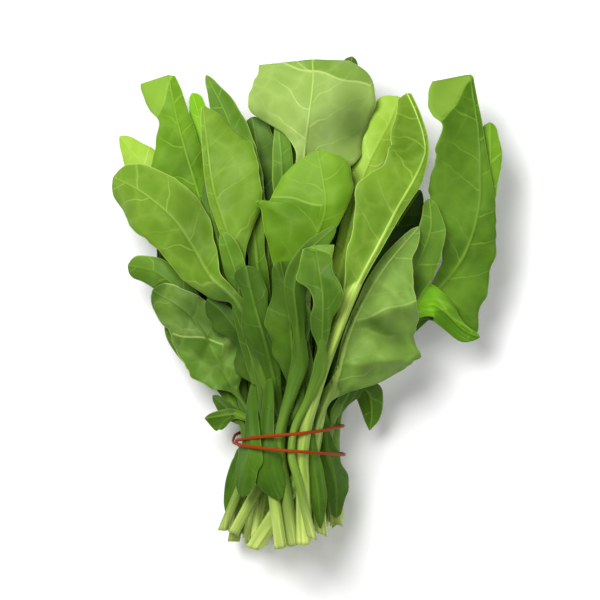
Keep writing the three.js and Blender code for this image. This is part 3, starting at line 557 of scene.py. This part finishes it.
# Fibres and streaks, drawn out along the leaf, and where a leaf is shaded by those above it
stretched = node(tree, "VectorMath", uv, (70.0, 3.0, 1.0), operation="MULTIPLY")
fibres = node(tree, "TexNoise", stretched, seed, 1.0, 2.0, 0.5, noise_dimensions="4D")
low = between(tree, sums(tree, "SUBTRACT", down, given["Rib reach"]), -0.045, 0.015, 1.0, 0.0)
lowest = between(tree, down, -0.15, -0.1, 1.0, 0.0)
among = sums(tree, "MULTIPLY", narrow, between(tree, down, 0.0, 0.03, 1.0, 0.0))
shaded = sums(tree, "MULTIPLY", among, between(tree, down, -0.1, -0.075))
streaks = node(tree, "VectorMath", uv, (42.0, 1.6, 1.0), operation="MULTIPLY")
streaks = node(tree, "TexNoise", streaks, seed, 1.0, 2.0, 0.6, noise_dimensions="4D")
streaks = sums(tree, "MULTIPLY", between(tree, streaks, 0.42, 0.6), among)
shadow = sums(tree, "MULTIPLY", shaded, sums(tree, "SUBTRACT", 1.0, low))

# The stalk's flesh, paler low down and at its cut end, and then what covers the blade's greens, in order:
# where, how strongly and with which colour
fleshy = tint(tree, between(tree, fibres, 0.35, 0.65, 0.0, 0.65), given["Stalk"], given["Blade"])
fleshy = tint(tree, low, tint(tree, 0.4, given["Blade"], fleshy), fleshy)
paler = sums(tree, "MULTIPLY", lowest, sums(tree, "MULTIPLY", stalk, 0.8))
fleshy = tint(tree, paler, fleshy, given["Cut end"])
covers = (
    (shaded, 0.55, shaded_green),
    (net, 0.12, given["Vein"]),
    (pale, 0.8, given["Vein"]),
    (vein, given["Vein strength"], given["Vein"]),
    # painted highlight along the margin
    (margin_highlight, 0.7, given["Vein"]),
    (crease, 0.5, given["Vein"]),
    (ribbed, 0.9, fleshy),
    (streaks, 0.4, streak_green),
    (shadow, 0.6, shaded_green),
    # painted shade in the dents
    (hollow, 0.75, hollow_green),
)
colour = tint(tree, between(tree, blotch, 0.3, 0.7), given["Blade"], given["Deep"])
for where, strength, cover in covers:
    colour = tint(tree, sums(tree, "MULTIPLY", where, strength), colour, cover)
rough = between(tree, blotch, 0.2, 0.8, 0.42, 0.58)
rough = sums(tree, "SUBTRACT", rough, sums(tree, "MULTIPLY", ribbed, 0.08))
height = sums(tree, "MULTIPLY", vein, 0.6)
for where, strength in ((net, 0.16), (sums(tree, "MULTIPLY", fibres, ribbed), 0.35), (grain, 0.14)):
    height = sums(tree, "ADD", height, sums(tree, "MULTIPLY", where, strength))
result = tree.nodes.new("NodeGroupOutput")
for label, value in (("Colour", colour), ("Roughness", rough), ("Height", height)):
    tree.links.new(value, result.inputs[label])


cut_green = (214, 230, 126)
leaf_gloss = 0.11
leaf_bump, leaf_bump_depth = 0.6, 0.0004


def leaf_material(name, blade, deep, vein, stalk, strength, rib_reach):
    """A matt, waxy leaf: the shared pattern in its own greens, its rib pale below rib_reach on the bunch."""
    material = bpy.data.materials.new(name)
    material.use_nodes = True
    tree = material.node_tree
    surface = tree.nodes["Principled BSDF"]
    pattern = tree.nodes.new("ShaderNodeGroup")
    pattern.node_tree = leaf_pattern
    greens = {"Blade": blade, "Deep": deep, "Vein": vein, "Stalk": stalk, "Cut end": cut_green}
    for label, value in greens.items():
        pattern.inputs[label].default_value = shade(*value)
    pattern.inputs["Vein strength"].default_value = strength
    pattern.inputs["Rib reach"].default_value = rib_reach
    bump = tree.nodes.new("ShaderNodeBump")
    bump.inputs["Strength"].default_value = leaf_bump
    bump.inputs["Distance"].default_value = leaf_bump_depth
    tree.links.new(pattern.outputs["Height"], bump.inputs["Height"])
    tree.links.new(bump.outputs["Normal"], surface.inputs["Normal"])
    tree.links.new(pattern.outputs["Colour"], surface.inputs["Base Color"])
    tree.links.new(pattern.outputs["Roughness"], surface.inputs["Roughness"])
    surface.inputs["Specular IOR Level"].default_value = leaf_gloss
    return material


# Each look: blade, its deeper patches, veins and stalk, how strong the veins are, how far up the rib is
# pale, and the leaves that have it. The last three are for leaves that no other look names.
pale_throughout, pale_low = 0.2, -0.06
leaf_looks = {
    "pale_leaf": ((126, 156, 68), (106, 140, 48), (190, 214, 122), (176, 204, 108), 0.62, pale_throughout,
                  ("leaf_top",)),
    "upper_leaf": ((110, 146, 42), (90, 126, 28), (160, 190, 84), (150, 184, 74), 0.45, pale_low,
                   ("leaf_left_centre", "leaf_left_big")),
    "fresh_leaf": ((106, 148, 32), (80, 122, 14), (146, 184, 66), (136, 174, 58), 0.42, pale_low,
                   ("leaf_left_tall", "leaf_centre", "leaf_right_edge", "leaf_right_small",
                    "leaf_low_sprout")),
    "ribbed_leaf": ((112, 148, 40), (84, 120, 22), (170, 200, 88), (184, 212, 98), 0.38, pale_throughout,
                    ("leaf_right_tall",)),
    "lit_leaf": ((124, 178, 20), (106, 162, 10), (164, 204, 64), (140, 184, 58), 0.45, pale_low,
                 ("leaf_left_sliver", "leaf_low_left_behind")),
    # leaf_right_curl: brighter, more saturated greens, painted light shining through the leaf
    "painted_lit_curl": ((140, 220, 14), (116, 202, 6), (180, 230, 72), (150, 194, 66), 0.4, pale_low,
                    ("leaf_right_curl",)),
    "backlit_leaf": ((154, 190, 66), (134, 172, 46), (190, 214, 110), (140, 184, 58), 0.5, pale_low,
                     ("leaf_far_left", "leaf_right_behind")),
    # leaf_right_low: a greyer green
    "greyish_leaf": ((118, 150, 64), (98, 132, 46), (156, 186, 98), (158, 188, 86), 0.42, pale_throughout,
                   ("leaf_right_low",)),
    "mid_leaf": ((92, 130, 36), (74, 112, 24), (138, 172, 68), (140, 174, 64), 0.4, pale_low,
                 ("leaf_low_left_tip", "leaf_fold_right", "leaf_right_inner", "leaf_left_small",
                  "leaf_left_behind", "leaf_inner_narrow")),
    "turned_leaf": ((90, 126, 38), (74, 112, 26), (184, 208, 124), (106, 142, 46), 0.16, pale_low,
                    ("leaf_low_left",)),
    "folded_leaf": ((92, 132, 30), (66, 102, 18), (126, 162, 54), (118, 152, 54), 0.42, pale_low,
                    ("leaf_right_big",)),
    "inner_leaf": ((84, 120, 30), (48, 78, 12), (104, 138, 50), (122, 158, 54), 0.3, pale_low, ()),
    "tucked_leaf": ((82, 122, 28), (52, 86, 12), (106, 142, 42), (74, 108, 24), 0.18, pale_low, ()),
    # hidden leaves: near-black greens, painted shade for the gaps between leaves
    "painted_shade_leaf": ((36, 62, 12), (26, 48, 8), (62, 92, 28), (128, 160, 58), 0.3, pale_low, ()),
}
usual_looks = {"hidden": "painted_shade_leaf", "tucked": "tucked_leaf"}
look_of = {}
for look, (*settings, names) in leaf_looks.items():
    material = leaf_material(look, *settings)
    look_of.update(dict.fromkeys(names, material))
leaf_names = sorted(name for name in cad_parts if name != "elastic_band")
for seed, name in enumerate(leaf_names):
    kind = next((look for word, look in usual_looks.items() if word in name), "inner_leaf")
    piece = finer_leaf(name, seed)
    piece.data.materials.append(look_of.get(name, bpy.data.materials[kind]))


# The elastic band: one loop of soft rubber, wound twice round the stalks and crossing itself. Its path runs
# round the outside of the stalks at the waist, and its strand is two round lobes side by side.
waist_y = -0.0827
waist_x = -0.0085
waist_half_width = 0.0316
band_radius = 0.00095
band_stray = 0.0085
band_clearance = 0.0006
band_crossing = -1.4
band_hold = 0.003
band_over = 1.15  # how far one turn is lifted over the other, in strand radii either way
band_headings, band_steps, band_sides = 900, 420, 20
band_smoothing = 33
lobe_depth = 0.26
band_gloss = 0.1
band_bump, band_bump_depth = 0.4, 0.0001


def crossed(spread):
    """Half the way round at each point of a twice-wound path about its centre, from where it crosses."""
    turn = np.unwrap(np.arctan2(spread[:, 1], spread[:, 0]))
    return (turn - 2 * np.pi * np.round(turn[0] / (2 * np.pi))) / 2 + band_crossing


def band_path(points, count):
    """The band's way round points, first round all of them seen along the bunch, then at each heading round
    those near its own place on the bunch: the furthest point, moved out by the strand's radius, more where
    one turn passes over the other. It strays along the bunch by the sine of half its way round, so that two
    turns close. Gives count even steps, smoothed, and the outward heading at each."""
    heading = np.linspace(0, 4 * np.pi, band_headings, endpoint=False)
    outward = np.stack([np.cos(heading), np.sin(heading)], axis=1)
    seen = points[:, [0, 2]]
    centre = (seen.min(0) + seen.max(0)) / 2
    held = seen[np.argmax(seen @ outward.T, axis=0)]
    cross = crossed(held - centre)
    down = waist_y + band_stray * np.sin(cross)
    near = np.abs(points[:, 1, None] - down) < band_hold
    held = seen[np.argmax(np.where(near, seen @ outward.T, -1), axis=0)]
    over = band_radius + band_clearance + band_over * band_radius * (1 + np.cos(cross))
    place = held + over[:, None] * outward
    path = np.stack([place[:, 0], down, place[:, 1]], axis=1)
    looped = np.concatenate([path, path[:1]])
    travel = np.concatenate([[0], np.cumsum(np.linalg.norm(np.diff(looped, axis=0), axis=1))])
    even = np.linspace(0, travel[-1], count, endpoint=False)
    path = np.stack([np.interp(even, travel, looped[:, axis]) for axis in range(3)], axis=1)
    window = np.hanning(band_smoothing)[1:-1] / np.hanning(band_smoothing).sum()
    reach = len(window) // 2
    wrapped = np.concatenate([path[-reach:], path, path[:reach]])
    path = np.stack([np.convolve(wrapped[:, axis], window, "valid") for axis in range(3)], axis=1)
    spread = path[:, [0, 2]] - centre
    path[:, 1] = waist_y + band_stray * np.sin(crossed(spread))
    return path, spread / np.linalg.norm(spread, axis=1, keepdims=True)


def leaf_points():
    """The finer leaves' points near the waist, in one array."""
    found = []
    for name in leaf_names:
        mesh = bpy.data.meshes[name + "_veined"]
        place = np.empty(3 * len(mesh.vertices), np.float32)
        mesh.vertices.foreach_get("co", place)
        place = place.reshape(-1, 3)
        within = np.abs(place[:, :2] - (waist_x, waist_y)) < (waist_half_width, band_stray + 2 * band_hold)
        found.append(place[within.all(1)])
    return np.concatenate(found)


path, outward = band_path(leaf_points(), band_steps)
forward = np.roll(path, -1, 0) - np.roll(path, 1, 0)
forward /= np.linalg.norm(forward, axis=1, keepdims=True)
outward = np.stack([outward[:, 0], 0 * outward[:, 0], outward[:, 1]], axis=1)
sideways = np.cross(forward, outward)
sideways /= np.linalg.norm(sideways, axis=1, keepdims=True)
outward = np.cross(sideways, forward)
angle = np.linspace(0, 2 * np.pi, band_sides, endpoint=False)
lobed = band_radius * (1 - lobe_depth + lobe_depth * np.abs(np.cos(angle)))
ring = path[:, None] + (lobed * np.cos(angle))[:, None] * sideways[:, None]
ring = ring + (lobed * np.sin(angle))[:, None] * outward[:, None]
index = np.arange(ring.shape[0] * ring.shape[1]).reshape(ring.shape[:2])
ahead, beside = np.roll(index, -1, 0), np.roll(index, -1, 1)
quads = np.stack([index, ahead, np.roll(ahead, -1, 1), beside], axis=-1).reshape(-1, 4)
along = np.repeat(np.arange(len(path)) / band_sides, len(angle))
strand = np.stack([np.tile(angle / np.pi, len(path)), along], axis=1)
no_triangles = np.empty((0, 3), int)
band = closed_mesh("elastic_band_wound", ring.reshape(-1, 3), quads, no_triangles, len(quads), strand=strand)
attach(band, "root")
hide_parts("elastic_band")

band_rubber = bpy.data.materials.new("band_rubber")
band_rubber.use_nodes = True
tree = band_rubber.node_tree
surface = tree.nodes["Principled BSDF"]
spot = node(tree, "TexCoord", out="Object")
cloud = node(tree, "TexNoise", spot, None, 260.0, 3.0, 0.6)
dust = node(tree, "TexNoise", spot, None, 2400.0, 2.0, 0.6)
red = tint(tree, between(tree, cloud, 0.3, 0.7), shade(160, 60, 2), shade(116, 34, 1))
red = tint(tree, between(tree, dust, 0.58, 0.75, 0.0, 0.35), red, shade(180, 76, 26))
tree.links.new(red, surface.inputs["Base Color"])
tree.links.new(between(tree, cloud, 0.2, 0.8, 0.4, 0.6), surface.inputs["Roughness"])
surface.inputs["Specular IOR Level"].default_value = band_gloss
bump = tree.nodes.new("ShaderNodeBump")
bump.inputs["Strength"].default_value = band_bump
bump.inputs["Distance"].default_value = band_bump_depth
tree.links.new(dust, bump.inputs["Height"])
tree.links.new(bump.outputs["Normal"], surface.inputs["Normal"])
band.data.materials.append(band_rubber)


# The stage: a pale floor, one large soft light above the bunch's head, a weak fill, and a camera that looks
# straight down from far off, framed as the photograph.
floor_reach = 3
floor_grey = 0.96
floor_roughness = 0.9
sky_strength = 0.24
floor_mesh = bpy.data.meshes.new("floor")
floor_corners = [(floor_reach * x, floor_reach * y, 0) for x, y in ((-1, -1), (1, -1), (1, 1), (-1, 1))]
floor_mesh.from_pydata(floor_corners, [], [(0, 1, 2, 3)])
floor = bpy.data.objects.new("floor", floor_mesh)
scene.collection.objects.link(floor)
floor_paper = bpy.data.materials.new("floor_paper")
floor_paper.use_nodes = True
surface = floor_paper.node_tree.nodes["Principled BSDF"]
surface.inputs["Base Color"].default_value = (floor_grey, floor_grey, floor_grey, 1)
surface.inputs["Roughness"].default_value = floor_roughness
floor_mesh.materials.append(floor_paper)
floor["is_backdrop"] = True

world = bpy.data.worlds.new("studio")
scene.world = world
world.use_nodes = True
world.node_tree.nodes["Background"].inputs["Color"].default_value = (1, 1, 1, 1)
world.node_tree.nodes["Background"].inputs["Strength"].default_value = sky_strength


def soft_light(name, place, aim, size, power):
    """A square area light at place, turned towards aim."""
    lamp = bpy.data.lights.new(name, "AREA")
    lamp.size = size
    lamp.energy = power
    holder = bpy.data.objects.new(name, lamp)
    holder.location = place
    toward = np.array(aim) - np.array(place)
    toward = toward / np.linalg.norm(toward)
    holder.rotation_euler = (math.acos(-toward[2]), 0, math.atan2(toward[0], -toward[1]) + math.pi)
    scene.collection.objects.link(holder)


soft_light("key_light", place=(-0.5, 0.6, 1.5), aim=(0, 0, 0), size=0.8, power=34)
soft_light("fill_light", place=(0.9, -0.4, 1.2), aim=(0, 0, 0), size=1.2, power=8)

picture_width = 0.3595
picture_centre = (-0.0031, 0.0017)
lens_height = 3.0
leaf_level = 0.05
sensor_width = 36
lens = bpy.data.cameras.new("camera")
lens.sensor_width = sensor_width
lens.lens = sensor_width * (lens_height - leaf_level) / picture_width
camera = bpy.data.objects.new("camera", lens)
camera.location = (*picture_centre, lens_height)
scene.collection.objects.link(camera)
scene.camera = camera
scene.view_settings.view_transform = "Standard"

low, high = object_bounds()
